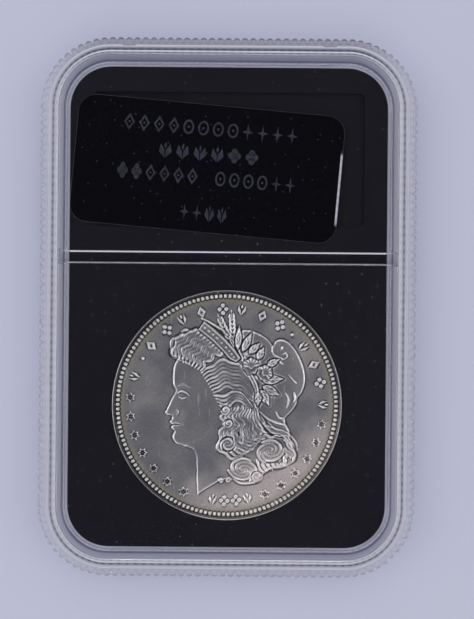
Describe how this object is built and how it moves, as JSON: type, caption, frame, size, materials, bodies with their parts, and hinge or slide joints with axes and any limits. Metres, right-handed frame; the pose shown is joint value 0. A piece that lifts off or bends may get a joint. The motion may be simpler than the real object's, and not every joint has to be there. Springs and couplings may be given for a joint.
{
  "type": "coin slab",
  "caption": "Clear snap-together slab with a knurled edge and windows both sides, holding a silver coin in a black insert under a loose label.",
  "frame": {"origin": "centre of the slab's back, on the plane it rests on", "axes": "+Z out of the front window, +Y towards the label end, +X to the right seen from the front"},
  "size_m": [0.062, 0.0888, 0.0086],
  "materials": {
    "clear_front": "clear polished",
    "clear_back": "clear polished",
    "insert_black": "satin black",
    "insert_rear_black": "satin black",
    "gasket_rubber": "soft matte",
    "coin_silver": "struck silver with light toning",
    "label_gloss": "gloss black with dim foil marks",
    "adhesive": "translucent tape"
  },
  "bodies": {
    "base": {"back_cover": "clear_back"},
    "lid": {"front_cover": "clear_front"},
    "insert": {"insert_front": "insert_black", "insert_back": "insert_rear_black", "coin_gasket": "gasket_rubber", "label_adhesive": "adhesive"},
    "coin": {"silver_coin": "coin_silver"},
    "label": {"label_plate": "label_gloss"}
  },
  "joints": [
    {"name": "cover_lift", "type": "slide", "parent": "base", "child": "lid", "axis": [0, 0, 1], "range_m": [0, 0.04]},
    {"name": "insert_lift", "type": "slide", "parent": "base", "child": "insert", "axis": [0, 0, 1], "range_m": [0, 0.014]},
    {"name": "coin_lift", "type": "slide", "parent": "insert", "child": "coin", "axis": [0, 0, 1], "range_m": [0, 0.012]},
    {"name": "label_turn", "type": "hinge", "parent": "insert", "child": "label", "pos_m": [-0.00356, 0.02285, 0.00588], "axis": [0, 0, 1], "range_deg": [-3.5, 12]}
  ],
  "couplings": [
    {"joint": "insert_lift", "follows": "cover_lift", "ratio": 0.35},
    {"joint": "coin_lift", "follows": "cover_lift", "ratio": 0.3}
  ]
}
